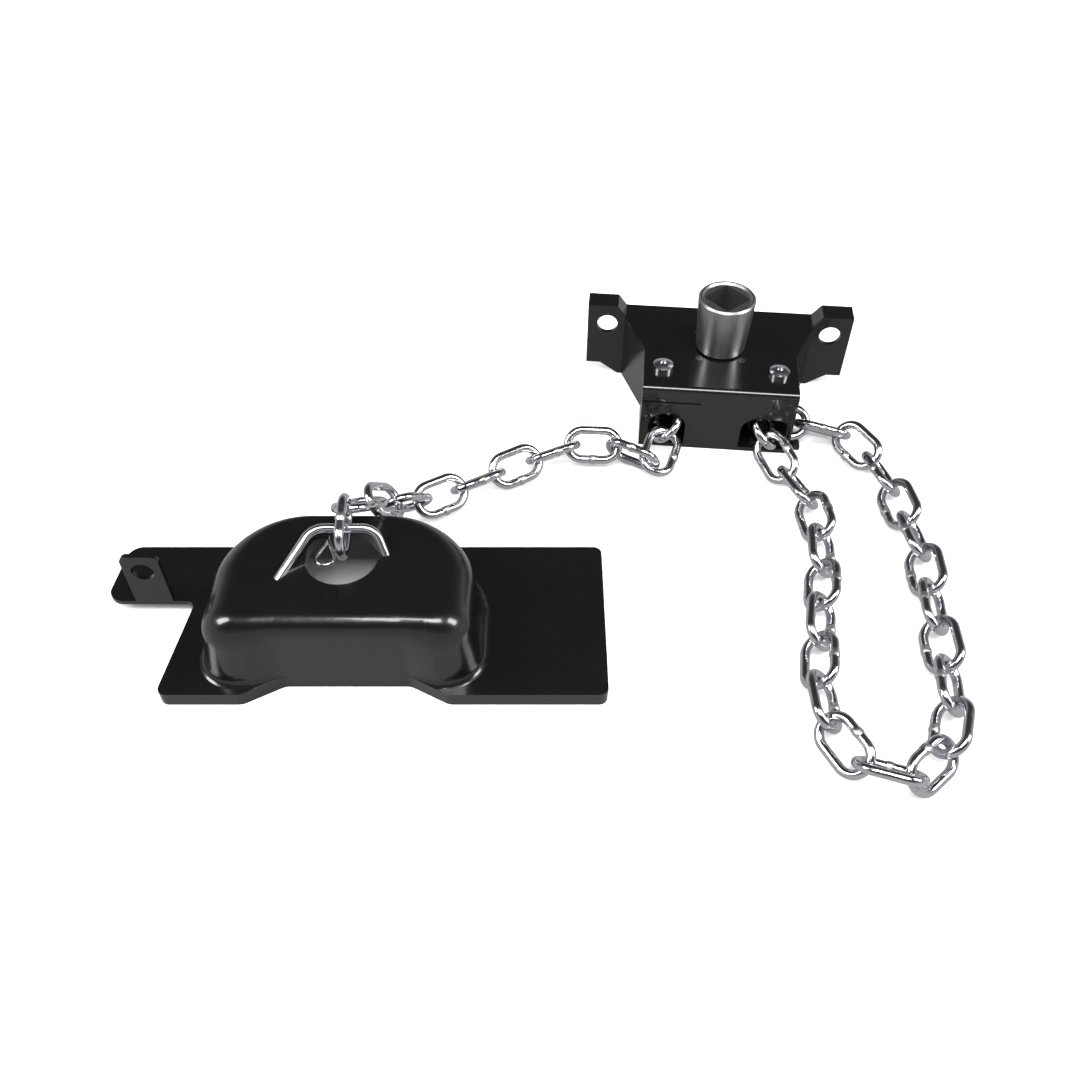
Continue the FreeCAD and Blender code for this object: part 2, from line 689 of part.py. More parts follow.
def rounded(points, radii, z0, z1):
    """Prism of a polygon whose corners have the given radii."""
    body = prism(points, z0, z1)
    for (x, y), radius in zip(points, radii):
        if radius > 0:
            edges = [e for e in body.Edges if e.BoundBox.ZLength > (z1 - z0) * 0.9
                     and abs(e.BoundBox.XMin - x) < 0.01 and abs(e.BoundBox.YMin - y) < 0.01]
            body = body.makeFillet(radius, edges)
    return body


def plate_outline(inset=0.0):
    left = -PLATE_LEFT + inset
    right = PLATE_RIGHT - inset
    rear = PLATE_REAR - inset
    front = -PLATE_FRONT + inset
    arm = left - ARM_LENGTH
    arm_front = PLATE_REAR - ARM_WIDTH + inset
    wall = front + RECESS_DEPTH
    x0 = RECESS_CENTRE
    points = [
        (right, rear), (arm, rear), (arm - 4, arm_front), (left + 4, arm_front), (left - 4, front),
        (x0 - RECESS_MOUTH + inset, front), (x0 - RECESS_WALL + inset, wall),
        (x0 + RECESS_WALL - inset, wall), (x0 + RECESS_MOUTH - inset, front), (right, front)]
    radii = [PLATE_CORNER, ARM_CORNER, ARM_CORNER, PLATE_CORNER, PLATE_CORNER, ARM_CORNER, ARM_CORNER,
             ARM_CORNER, ARM_CORNER, PLATE_CORNER]
    return points, radii


def hump_points(lean, wall_lean):
    """Plan of the hump: lean draws its sides in, wall_lean the flat wall in its front recess."""
    x0 = RECESS_CENTRE
    left = -HUMP_LEFT + lean
    right = HUMP_RIGHT - lean
    rear = HUMP_REAR - lean * REAR_LEAN
    front = -HUMP_FRONT + lean * LOBE_LEAN
    wall = -PLATE_FRONT + RECESS_DEPTH + wall_lean
    mouth = RECESS_MOUTH - RECESS_FLARE - lean * MOUTH_LEAN
    inner = RECESS_WALL - wall_lean * MOUTH_LEAN
    return [(right, rear), (left, rear), (left, front), (x0 - mouth, front), (x0 - inner, wall),
            (x0 + inner, wall), (x0 + mouth, front), (right, front)]


def hump_radii(lean):
    rear = HUMP_REAR_CORNER - lean * REAR_CORNER_LEAN
    front = HUMP_FRONT_CORNER - lean * FRONT_CORNER_LEAN
    return [rear, rear, front] + 4 * [RECESS_CORNER] + [front]


def hump_wire(points, radii, z):
    """Closed wire of straight sides and corner arcs at height z."""
    count = len(points)
    starts = []
    for i in range(count):
        before = V(*points[i - 1], z)
        here = V(*points[i], z)
        after = V(*points[(i + 1) % count], z)
        to_before = unit(before - here)
        to_after = unit(after - here)
        half = to_before.getAngle(to_after) / 2
        reach = radii[i] / math.tan(half)
        hub = here + unit(to_before + to_after) * (radii[i] / math.sin(half))
        starts.append((here + to_before * reach, hub + unit(here - hub) * radii[i], here + to_after * reach))
    edges = []
    for i in range(count):
        into, middle, out = starts[i]
        edges.append(Part.Arc(into, middle, out).toShape())
        edges.append(Part.LineSegment(out, starts[(i + 1) % count][0]).toShape())
    return Part.Wire(edges)


def hump_profile(depth):
    """Lean and height up the side: hollow foot, steep side and round edge, depth under the skin."""
    foot = HUMP_FOOT + depth
    edge = HUMP_EDGE - depth
    hub = PLATE_HEIGHT + HUMP_FOOT
    shoulder = HUMP_HEIGHT - HUMP_EDGE
    levels = []
    for degrees in (15.0, 40.0, 65.0, 90.0):
        turn = math.radians(degrees)
        levels.append((foot * math.sin(turn), hub - foot * math.cos(turn)))
    for degrees in range(0, 91, 15):
        turn = math.radians(degrees)
        levels.append((foot + HUMP_DRAFT + edge * (1 - math.cos(turn)), shoulder + edge * math.sin(turn)))
    return levels


def wall_lean(z, depth):
    edge = WALL_EDGE - depth
    over = max(0.0, z - (HUMP_HEIGHT - WALL_EDGE))
    return depth + edge - math.sqrt(max(0.0, edge ** 2 - over ** 2))


def hump_solid(depth, z0):
    """Drawn hump: a loft up its side profile on a skirt that starts at z0."""
    levels = hump_profile(depth)
    wires = [hump_wire(hump_points(lean, wall_lean(z, depth)), hump_radii(lean), z) for lean, z in levels]
    lean, z = levels[0]
    skirt = hump_wire(hump_points(lean, wall_lean(z, depth)), hump_radii(lean), z0)
    base = Part.Face(skirt).extrude(V(0, 0, z - z0))
    return base.fuse(Part.makeLoft(wires, True, False))


def carrier_plate():
    points, radii = plate_outline()
    blank = rounded(points, radii, 0, PLATE_HEIGHT)
    inner = prism(plate_inner(), -1, PLATE_HEIGHT - PLATE_SHEET)
    sheet = blank.cut(inner)
    ends_open = block(-PLATE_LEFT - 2 * ARM_LENGTH, PLATE_RIGHT + 1, -PLATE_FRONT + 3 * RECESS_DEPTH,
                      PLATE_REAR - PLATE_SHEET, -1, PLATE_HEIGHT - PLATE_SHEET)
    sheet = sheet.cut(ends_open)
    outer = hump_solid(0.0, PLATE_HEIGHT - PLATE_SHEET)
    hollow = hump_solid(PLATE_SHEET, -1.0)
    body = sheet.fuse(outer).cut(hollow)
    rim = tube(HOLE / 2 + PLATE_SHEET, HOLE / 2, HUMP_HEIGHT - RIM_DEPTH, HUMP_HEIGHT, HOLE_X, HOLE_Y)
    body = body.fuse(rim).cut(cylinder(HOLE / 2, 0, HUMP_HEIGHT + 5, HOLE_X, HOLE_Y))
    pin_bore = Part.makeCylinder(PIN_WIRE / 2, HUMP_REAR - HOLE_Y, V(PIN_X, HOLE_Y, HUMP_HEIGHT - PIN_DROP),
                                 V(0, 1, 0))
    return body.fuse(tab()).cut(pin_bore).removeSplitter()


def plate_inner():
    """Underside of the plate inside its turned-down front and rear edges."""
    wall = PLATE_SHEET
    rear = PLATE_REAR - wall
    left = -PLATE_LEFT + wall
    arm = -PLATE_LEFT - 2 * ARM_LENGTH
    right = PLATE_RIGHT + 1
    front = -PLATE_FRONT + wall
    deep = front + RECESS_DEPTH
    x0 = RECESS_CENTRE
    return [
        (right, rear), (arm, rear), (arm, PLATE_REAR - ARM_WIDTH - 1),
        (left - 4, PLATE_REAR - ARM_WIDTH - 1), (left - 4, front), (x0 - RECESS_MOUTH - 2, front),
        (x0 - RECESS_WALL - 2, deep), (x0 + RECESS_WALL + 2, deep), (x0 + RECESS_MOUTH + 2, front),
        (right, front)]


def tab_centre():
    x = -PLATE_LEFT - TAB_OFFSET
    y = PLATE_REAR - ARM_WIDTH
    return x, y


def tab():
    x, y = tab_centre()
    half = TAB_WIDTH / 2
    low = PLATE_HEIGHT - PLATE_SHEET
    plate = block(x - half, x + half, y, y + PLATE_SHEET, low, TAB_HEIGHT)
    top = [e for e in plate.Edges if e.BoundBox.YLength > PLATE_SHEET * 0.9 and e.BoundBox.ZMin > low + 1]
    plate = plate.makeFillet(ARM_CORNER / 2, top)
    hole = Part.makeCylinder(TAB_HOLE / 2, 4 * PLATE_SHEET, V(x, y - PLATE_SHEET, TAB_HEIGHT - TAB_HOLE_DROP),
                             V(0, 1, 0))
    return plate.cut(hole)


def chain_bar():
    """Bent rod over the hole: the crossbar holds the end link, its legs stand on the hump."""
    left = V(-BAR_HALF, 0, BAR_HEIGHT)
    right = V(BAR_HALF, 0, BAR_HEIGHT)
    left_foot = V(*BAR_LEFT_FOOT, HUMP_HEIGHT)
    right_foot = V(*BAR_RIGHT_FOOT, HUMP_HEIGHT)
    left_end = left_foot + unit(left_foot - left) * BAR
    right_end = right_foot + unit(right_foot - right) * BAR
    points = [left_end, left, right, right_end]
    bend = BAR_BEND
    edges = []
    last = points[0]
    for before, here, after in zip(points, points[1:], points[2:]):
        into = here + unit(before - here) * bend
        out = here + unit(after - here) * bend
        half = unit(before - here).getAngle(unit(after - here)) / 2
        hub = here + unit(unit(before - here) + unit(after - here)) * (bend / math.cos(half))
        radius = bend * math.tan(half)
        edges.append(Part.LineSegment(last, into).toShape())
        edges.append(Part.Arc(into, hub + unit(here - hub) * radius, out).toShape())
        last = out
    edges.append(Part.LineSegment(last, points[-1]).toShape())
    path = Part.Wire(edges)
    section = Part.Wire(Part.makeCircle(BAR / 2, points[0], unit(points[1] - points[0])))
    rod = path.makePipeShell([section], True, False)
    below = block(-HUMP_LEFT, HUMP_RIGHT, -HUMP_FRONT, HUMP_REAR, 0, HUMP_HEIGHT)
    return rod.cut(below)


def split_pin():
    """Split pin through the hole's rear rim, with its teardrop eye lying in the hole."""
    z = HUMP_HEIGHT - PIN_DROP
    radius = HOLE / 2
    wall = HOLE_Y + math.sqrt(radius ** 2 - (PIN_X - HOLE_X) ** 2)
    bow = (PIN_EYE - PIN_WIRE) / 2
    neck = V(PIN_X, wall - 2.0, z)
    front = V(PIN_X, wall - 2.0 - PIN_EYE_LENGTH, z)
    hub = front + V(0, bow, 0)
    turn = math.radians(20.0)
    left = hub + V(-bow * math.cos(turn), bow * math.sin(turn), 0)
    right = hub + V(bow * math.cos(turn), bow * math.sin(turn), 0)
    path = Part.Wire([
        Part.LineSegment(neck, left).toShape(),
        Part.Arc(left, front, right).toShape(),
        Part.LineSegment(right, neck).toShape(),
    ])
    section = Part.Wire(Part.makeCircle(PIN_WIRE / 2, neck, unit(left - neck)))
    eye = path.makePipeShell([section], True, False, 2)
    shank = Part.makeCylinder(PIN_WIRE / 2, PIN_SHANK, neck, V(0, 1, 0))
    knot = Part.makeSphere(PIN_WIRE / 2, neck)
    return fuse([eye, knot, shank])


def build_solids():
    """Every piece under its node's name, in the frame of the laid-out object."""
    housing = housing_placement()
    fixed = {
        "mounting_bracket": [mounting_bracket()],
        "side_walls": side_walls(),
        "base_plate": [base_plate()],
        "chain_guide": [chain_guide()],
        "cover_screws": [cover_screw(side * SCREW_X) for side in (-1, 1)],
        "cover_nuts": [cover_nut(side * SCREW_X) for side in (-1, 1)],
        "top_bush": [top_bush()],
        "bottom_bush": [bottom_bush()],
        "reaction_pins": [reaction_pin(x, y) for x, y in reaction_places()],
        "drive_socket": [drive_socket()],
        "drive_shaft": [drive_shaft()],
        "eccentric": [eccentric()],
        "retaining_ring": [retaining_ring()],
        "cone_spring": [cone_spring()],
        "cycloid_gear": [cycloid_gear()],
        "gear_sleeve": [gear_sleeve()],
        "chain_wheel": [chain_wheel()],
        "thrust_washer": [thrust_washer()],
    }
    nodes = {}
    for name, solids in fixed.items():
        nodes[name] = [placed(solid, housing) for solid in solids]
    nodes["chain_anchor"] = [chain_anchor()]
    nodes["chain_on_wheel"] = [link_solid(link) for link in inner_links()]
    for i, link in enumerate(run_links()):
        nodes["run_link_%02d" % (i + 1)] = [link_solid(link)]
    for i, link in enumerate(loop_links()):
        nodes["loop_link_%02d" % (i + 1)] = [link_solid(link)]
    carrier = carrier_placement()
    nodes["carrier_plate"] = [placed(carrier_plate(), carrier)]
    nodes["chain_bar"] = [placed(chain_bar(), carrier)]
    nodes["split_pin"] = [placed(split_pin(), carrier)]
    return nodes


def placed(solid, placement):
    moved = solid.copy()
    moved.Placement = placement.multiply(moved.Placement)
    return moved


def carrier_placement():
    bar = bar_centre(run_links())
    return FreeCAD.Placement(V(bar.x, bar.y, 0), FreeCAD.Rotation())


def origin_shift(nodes):
    """The origin is under the middle of the whole object, at the level it rests on."""
    box = FreeCAD.BoundBox()
    for solids in nodes.values():
        for solid in solids:
            box.add(solid.optimalBoundingBox(False, False))
    return V(-box.Center.x, -box.Center.y, -box.ZMin)


def main():
    os.makedirs("parts", exist_ok=True)
    nodes = build_solids()
    shift = origin_shift(nodes)
    for name, solids in nodes.items():
        moved = [solid.translated(shift) for solid in solids]
        shape = moved[0] if len(moved) == 1 else Part.makeCompound(moved)
        shape.exportStep("parts/%s.step" % name)


if __name__ == "__main__":
    main()
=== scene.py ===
"""Looks of a chain winch for a spare wheel: finishes, chain links, small fittings and the studio stage."""

import json
import math

import bmesh
import bpy
import numpy as np
from mathutils import Matrix, Vector


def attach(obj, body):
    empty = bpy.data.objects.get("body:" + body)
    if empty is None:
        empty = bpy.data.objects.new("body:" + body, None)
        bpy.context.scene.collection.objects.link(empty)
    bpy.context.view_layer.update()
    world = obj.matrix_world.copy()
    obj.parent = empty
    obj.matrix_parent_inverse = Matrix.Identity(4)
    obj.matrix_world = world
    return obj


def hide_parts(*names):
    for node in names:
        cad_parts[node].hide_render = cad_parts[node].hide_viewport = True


bl_info = {
    "name": "Spare wheel winch looks",
    "version": (1, 0, 0),
    "blender": (4, 5, 0),
    "location": "3D View > Sidebar > Winch",
    "description": "Dresses the packed winch: painted sheet, zinc plated chain, socket and studio stage",
    "category": "Object",
}

# Fixed tints
DUST = (0.22, 0.22, 0.24)
PIT = (0.25, 0.25, 0.26)
WHITE = (1.0, 1.0, 1.0)
BRONZE_SHADE = (0.3, 0.18, 0.07)
IRON_SHADE = (0.05, 0.05, 0.05)
STEEL_SHADE = (0.2, 0.2, 0.21)

# Weld of a link, in its own frame: half length of the tint along the leg, and where the leg starts
TINT_HALF = 0.0036
TINT_SIDE = 0.004
NO_WELD = 9.0
WELD_REACH = 3.0
NOTCH_PLACE = 1.15
NOTCH_SHARE = 0.35
NOTCH_STEEP = 6
CROWN = 0.25

# Table: how white it looks by itself, to the camera and in reflections, and how far around a hollow its
# glow gives way to painted shade
TABLE_HALF = 6.0
TABLE_DROP = 0.0003
TABLE_GLOW = 0.35
TABLE_MIRRORED = 0.22
MIRRORED_SHARE = 0.8
PAINTED_SHADE_REACH = 0.09
PAINTED_SHADE_STEEP = 5.0
PAINTED_SHADE_START = 0.6

# Room that reflections see, from straight down to straight up
ROOM = [(0.0, 0.5), (0.5, 0.6), (0.6, 0.34), (0.7, 0.1), (0.8, 0.04), (1.0, 0.03)]

# Lamps: name, place, point it faces, width and height in metres, and watts
LAMPS = [
    ("lamp_front", (0.1, -0.4, 1.15), (0.0, 0.0, 0.0), (0.8, 0.4), 14.0),
    ("lamp_left", (-1.0, -0.2, 0.85), (-0.05, 0.0, 0.03), (0.4, 0.6), 10.0),
    ("lamp_right", (1.05, -0.2, 0.8), (0.1, 0.0, 0.03), (0.4, 0.6), 10.0),
]
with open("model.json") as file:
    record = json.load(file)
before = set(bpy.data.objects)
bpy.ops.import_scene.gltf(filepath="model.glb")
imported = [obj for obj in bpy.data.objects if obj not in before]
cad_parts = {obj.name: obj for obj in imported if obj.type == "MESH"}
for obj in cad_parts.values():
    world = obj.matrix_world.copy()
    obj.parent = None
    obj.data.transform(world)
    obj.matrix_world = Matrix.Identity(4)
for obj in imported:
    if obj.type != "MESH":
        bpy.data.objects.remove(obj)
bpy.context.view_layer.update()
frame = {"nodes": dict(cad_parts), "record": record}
NODES = frame["nodes"]
LINK_NODES = sorted(n for n in NODES if n.startswith(("run_link_", "loop_link_")))
NODE_BODY = {n: b for b, names in frame["record"]["behaviour"]["bodies"].items() for n in names}


# Shader expressions

class Sock:
    """One output of a node, or a plain number, with Python's operators."""

    def __init__(self, shader, value):
        self.shader = shader
        self.value = value

    def math(self, operation, *others, clamp=False):
        return self.shader.add("ShaderNodeMath", {"operation": operation, "use_clamp": clamp},
                               [self, *others])

    def __add__(self, other):
        return self.math("ADD", other)

    def __radd__(self, other):
        return self.shader.number(other).math("ADD", self)

    def __sub__(self, other):
        return self.math("SUBTRACT", other)

    def __rsub__(self, other):
        return self.shader.number(other).math("SUBTRACT", self)

    def __mul__(self, other):
        return self.math("MULTIPLY", other)

    def __rmul__(self, other):
        return self.shader.number(other).math("MULTIPLY", self)

    def __truediv__(self, other):
        return self.math("DIVIDE", other)

    def __gt__(self, other):
        return self.math("GREATER_THAN", other)

    def clamped(self):
        return self.math("ADD", 0.0, clamp=True)

    def absolute(self):
        return self.math("ABSOLUTE")


class Shader:
    """A material, world or floor node tree that is written as expressions."""

    def __init__(self, tree):
        self.tree = tree
        tree.nodes.clear()

    def number(self, value):
        return value if isinstance(value, Sock) else Sock(self, value)

    def plug(self, socket, value):
        value = value.value if isinstance(value, Sock) else value
        if isinstance(value, bpy.types.NodeSocket):
            self.tree.links.new(value, socket)
        elif socket.type == "RGBA":
            socket.default_value = (*value, 1.0)
        else:
            socket.default_value = value

    def add(self, kind, settings=None, values=(), out=0, stops=None):
        """Add a node: its settings first, then its sockets by place or by name."""
        node = self.tree.nodes.new(kind)
        for name, value in (settings or {}).items():
            setattr(node, name, value)
        if stops:
            ramp = node.color_ramp
            while len(ramp.elements) < len(stops):
                ramp.elements.new(1.0)
            for element, (place, level) in zip(ramp.elements, stops):
                element.position = place
                element.color = (level, level, level, 1.0) if isinstance(level, float) else (*level, 1.0)
        pairs = values.items() if isinstance(values, dict) else enumerate(values)
        for name, value in pairs:
            self.plug(node.inputs[name], value)
        return Sock(self, node.outputs[out])

    def end(self, kind, last):
        self.plug(self.tree.nodes.new(kind).inputs["Surface"], last)

    def split(self, vector):
        parts = self.tree.nodes.new("ShaderNodeSeparateXYZ")
        self.plug(parts.inputs[0], vector)
        return [Sock(self, out) for out in parts.outputs]

    def mix(self, share, low, high):
        return self.add("ShaderNodeMix", {"data_type": "RGBA"},
                        {0: share, 6: low, 7: high}, out=2)

    def place(self, scale=(1.0, 1.0, 1.0)):
        """Point of the surface in metres, stretched by a scale."""
        point = self.add("ShaderNodeTexCoord", out="Object")
        return self.add("ShaderNodeVectorMath", {"operation": "MULTIPLY"}, [point, scale])

    def noise(self, scale, detail=3.0, stretch=(1.0, 1.0, 1.0), rough=0.5):
        return self.add("ShaderNodeTexNoise", {}, {
            "Vector": self.place(stretch), "Scale": scale, "Detail": detail, "Roughness": rough})

    def ramp(self, share, stops):
        return self.add("ShaderNodeValToRGB", {}, [share], stops=stops)

    def bump(self, height, strength, distance, normal=None):
        values = {"Height": height, "Strength": strength, "Distance": distance}
        if normal is not None:
            values["Normal"] = normal
        return self.add("ShaderNodeBump", {}, values)


def material(name):
    made = bpy.data.materials.new(name)
    made.use_nodes = True
    return made, Shader(made.node_tree)


def surface(shader, **sockets):
    """Principled surface: names with _ for a blank."""
    values = {name.replace("_", " "): value for name, value in sockets.items()}
    shader.end("ShaderNodeOutputMaterial", shader.add("ShaderNodeBsdfPrincipled", {}, values))


# Finishes

def black_paint(name, colour, shine, peel):
    """Gloss black enamel on sheet: orange peel, faint dust and cloudy shine."""
    made, s = material(name)
    dust = s.ramp(s.noise(2600.0, 2.0), [(0.66, 0.0), (0.78, 1.0)])
    cloud = s.noise(24.0, 4.0)
    fine = s.noise(650.0, 3.0)
    base = s.mix(dust * 0.08, colour, DUST)
    rough = cloud * 0.16 + shine + dust * 0.12
    normal = s.bump(fine, peel, 0.0004)
    surface(s, Base_Color=base, Roughness=rough, Normal=normal, Coat_Weight=0.6, Coat_Roughness=0.06,
            IOR=1.5)
    return made


def zinc_plate(name, colour, shade, tint):
    """Bright zinc on drawn wire: fine draw lines, cloudy plating and heat tint at the weld."""
    made, s = material(name)
    cloud = s.noise(210.0, 5.0, rough=0.6)
    lines = s.noise(900.0, 2.0, (0.08, 1.0, 1.0))
    x, y, _ = s.split(s.place())
    weld = (1.0 - x.absolute() / TINT_HALF).clamped() * (y > TINT_SIDE)
    base = s.mix(cloud, colour, shade)
    base = s.mix(weld * s.noise(500.0, 3.0) * 0.9, base, tint)
    rough = cloud * 0.18 + 0.07 + weld * 0.2
    normal = s.bump(lines, 0.12, 0.0002)
    normal = s.bump(s.noise(1500.0, 3.0) * weld, 0.35, 0.0006, normal)
    surface(s, Base_Color=base, Metallic=1.0, Roughness=rough, Normal=normal)
    return made


def plain_zinc(name, colour, shade):
    """Zinc plate on small fittings."""
    made, s = material(name)
    cloud = s.noise(260.0, 5.0, rough=0.6)
    base = s.mix(cloud, colour, shade)
    normal = s.bump(s.noise(1800.0, 3.0), 0.1, 0.0002)
    surface(s, Base_Color=base, Metallic=1.0, Roughness=cloud * 0.2 + 0.12, Normal=normal)
    return made


def galvanised(name, colour, shade):
    """Satin galvanised steel with draw streaks along the drive axis."""
    made, s = material(name)
    streak = s.noise(420.0, 4.0, (1.0, 1.0, 0.06), 0.6)
    cloud = s.noise(90.0, 4.0)
    pits = s.ramp(s.noise(1500.0, 2.0), [(0.6, 0.0), (0.75, 1.0)])
    base = s.mix(streak, colour, shade)
    base = s.mix(pits * 0.35, base, PIT)
    rough = streak * 0.22 + cloud * 0.12 + 0.2
    normal = s.bump(streak, 0.25, 0.0003)
    surface(s, Base_Color=base, Metallic=1.0, Roughness=rough, Normal=normal)
    return made


def turned_metal(name, colour, shade, rough, metal=1.0, grain=500.0):
    """Machined or cast inner parts under a film of grease."""
    made, s = material(name)
    cloud = s.noise(60.0, 4.0)
    grit = s.noise(grain, 4.0)
    base = s.mix(cloud * grit * 2.0, colour, shade)
    surface(s, Base_Color=base, Metallic=metal, Roughness=grit * 0.2 + rough,
            Normal=s.bump(grit, 0.3, 0.0003), Coat_Weight=0.2, Coat_Roughness=0.2)
    return made


def dress(finish, *names):
    """Give CAD nodes a finish."""
    for name in names:
        mesh = NODES[name].data
        mesh.materials.clear()
        mesh.materials.append(finish)


# Sizes and colours that a user may change

def metres(name, text, default, low=0.0, high=1.0):
    return bpy.props.FloatProperty(name=name, description=text, default=default, min=low, max=high,
                                   subtype="DISTANCE", unit="LENGTH", precision=5)


def number(name, text, default, low=0.0, high=100.0):
    return bpy.props.FloatProperty(name=name, description=text, default=default, min=low, max=high)


def colour(name, text, default):
    return bpy.props.FloatVectorProperty(name=name, description=text, default=default, size=3, min=0.0,
                                         max=1.0, subtype="COLOR")


class WinchFinishes(bpy.types.PropertyGroup):
    paint: colour("Paint", "Gloss black enamel of the winch housing", (0.004, 0.004, 0.0045))
    carrier_paint: colour("Carrier paint", "Gloss black of the carrier plate", (0.004, 0.004, 0.0045))
    shine: number("Paint roughness", "Least roughness of the paint", 0.14, 0.0, 1.0)
    peel: number("Orange peel", "Strength of the paint's orange peel", 0.06, 0.0, 1.0)
    zinc: colour("Zinc", "Bright zinc plate of the chain", (0.8, 0.8, 0.83))
    zinc_shade: colour("Zinc shade", "Cloudy parts of the zinc plate", (0.58, 0.58, 0.62))
    weld_tint: colour("Weld tint", "Heat tint at the link's weld", (0.5, 0.44, 0.32))
    socket: colour("Socket", "Satin galvanised drive socket", (0.5, 0.51, 0.52))
    socket_shade: colour("Socket shade", "Dark streaks of the socket", (0.3, 0.3, 0.31))
    bronze: colour("Bronze", "Bearing bushes", (0.55, 0.36, 0.16))
    iron: colour("Iron", "Cast chain wheel and lobed gear", (0.12, 0.12, 0.125))
    steel: colour("Steel", "Oiled steel of the shaft and the springs", (0.36, 0.36, 0.37))


class WinchLink(bpy.types.PropertyGroup):
    bead: metres("Weld bead", "Height of the weld bead over the wire", 0.00042, 0.0, 0.001)
    bead_length: metres("Bead length", "Length of the weld bead along the leg", 0.0042, 0.001, 0.01)
    stations: bpy.props.IntProperty(name="Stations", description="Rings of points along one link",
                                    default=120, min=24, max=400)
    sides: bpy.props.IntProperty(name="Sides", description="Points round the wire", default=20, min=8,
                                 max=64)


class WinchStage(bpy.types.PropertyGroup):
    floor: colour("Floor", "Colour of the studio floor", (0.9, 0.9, 0.9))
    view: metres("View distance", "From the camera to the middle of the table", 0.664, 0.1, 5.0)
    elevation: bpy.props.FloatProperty(name="Elevation", description="Camera height as an angle",
                                       default=math.radians(47.5), subtype="ANGLE", unit="ROTATION")
    angle: bpy.props.FloatProperty(name="Angle of view", description="Camera's angle of view",
                                   default=2 * math.atan(540.0 / 1050.0), subtype="ANGLE",
                                   unit="ROTATION")
    target: bpy.props.FloatVectorProperty(name="Target", description="Point that the camera looks at",
                                          default=(0.006187, -0.00009, 0.00003), subtype="TRANSLATION",
                                          unit="LENGTH", size=3)
    ambient: number("Ambient", "Light of the room on the object", 0.45, 0.0, 4.0)


# Chain links

def islands(mesh):
    """Points and triangles of each separate solid in a mesh."""
    mesh.calc_loop_triangles()
    points = np.array([v.co for v in mesh.vertices], float)
    triangles = np.array([t.vertices for t in mesh.loop_triangles], int)
    keys = {}
    same = np.array([keys.setdefault(tuple(np.round(p, 6)), i) for i, p in enumerate(points)])
    parent = list(range(len(points)))

    def root(i):
        while parent[i] != i:
            parent[i] = parent[parent[i]]
            i = parent[i]
        return i

    for a, b, c in same[triangles]:
        parent[root(b)] = root(a)
        parent[root(c)] = root(a)
    group = np.array([root(same[t[0]]) for t in triangles])
    return [(points, triangles[group == g]) for g in sorted(set(group))]


def link_pose(points, triangles):
    """Frame of one link from its surface: length along X, weld leg on +Y; and its half sizes."""
    a, b, c = (points[triangles[:, k]] for k in range(3))
    area = np.linalg.norm(np.cross(b - a, c - a), axis=1)
    middle = (a + b + c) / 3
    centre = (middle * area[:, None]).sum(0) / area.sum()
    spread = ((middle - centre) * area[:, None]).T @ (middle - centre)
    along, side, _ = np.linalg.eigh(spread)[1].T[::-1]
    used = points[np.unique(triangles)] - centre
    length = used @ along
    plain = used[np.abs(length) > CROWN * length.max()]
    up = np.cross(along, side)
    reach = [(used @ along), (plain @ side), (plain @ up)]
    centre = centre + sum((r.max() + r.min()) / 2 * d for r, d in zip(reach, (along, side, up)))
    half, width, wire = ((r.max() - r.min()) / 2 for r in reach)
    whole = (points[np.unique(triangles)] - centre) @ side
    if whole.max() < -whole.min():
        side, up = -side, -up
    return centre, along, side, up, half, width, wire


def link_mesh(name, half, width, wire, bead, bead_length, stations, sides):
    """Round wire bent into a link and welded in the middle of its +Y leg."""
    bow = width - wire
    straight = 2 * (half - width)
    total = 2 * straight + 2 * math.pi * bow
    built = bmesh.new()
    rings = []
    for i in range(stations):
        s = total * i / stations
        if s < straight:
            centre = Vector((s - straight / 2, bow, 0))
            out = Vector((0, 1, 0))
            weld = (s - straight / 2) / (bead_length / 2)
        elif s < straight + math.pi * bow:
            turn = math.pi / 2 - (s - straight) / bow
            out = Vector((math.cos(turn), math.sin(turn), 0))
            centre = Vector((straight / 2, 0, 0)) + out * bow
            weld = NO_WELD
        elif s < 2 * straight + math.pi * bow:
            centre = Vector((straight / 2 - (s - straight - math.pi * bow), -bow, 0))
            out = Vector((0, -1, 0))
            weld = NO_WELD
        else:
            turn = -math.pi / 2 - (s - 2 * straight - math.pi * bow) / bow
            out = Vector((math.cos(turn), math.sin(turn), 0))
            centre = Vector((-straight / 2, 0, 0)) + out * bow
            weld = NO_WELD
        swell = bead * math.exp(-(abs(weld) ** 3)) if abs(weld) < WELD_REACH else 0.0
        notch = -NOTCH_SHARE * bead * math.exp(-((abs(weld) - NOTCH_PLACE) * NOTCH_STEEP) ** 2)
        ring = []
        for k in range(sides):
            angle = 2 * math.pi * k / sides
            burr = 1.0 + 0.35 * math.sin(3 * angle + 1.0) + 0.2 * math.sin(7 * angle)
            radius = wire + swell * min(burr, 1.15) + notch
            ring.append(built.verts.new(centre + out * (radius * math.cos(angle))
                                        + Vector((0, 0, radius * math.sin(angle)))))
        rings.append(ring)
    for i, ring in enumerate(rings):
        after = rings[(i + 1) % stations]
        for k in range(sides):
            j = (k + 1) % sides
            built.faces.new((ring[k], after[k], after[j], ring[j]))
    bmesh.ops.recalc_face_normals(built, faces=built.faces)
    mesh = bpy.data.meshes.new(name)
    built.to_mesh(mesh)
    built.free()
    mesh.shade_smooth()
    return mesh


def show(mesh, name, matrix, finish, body, node=None):
    piece = bpy.data.objects.new(name, mesh)
    bpy.context.scene.collection.objects.link(piece)
    piece.matrix_world = matrix
    if not mesh.materials:
        mesh.materials.append(finish)
    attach(piece, body)
    if node:
        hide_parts(node)
    return piece


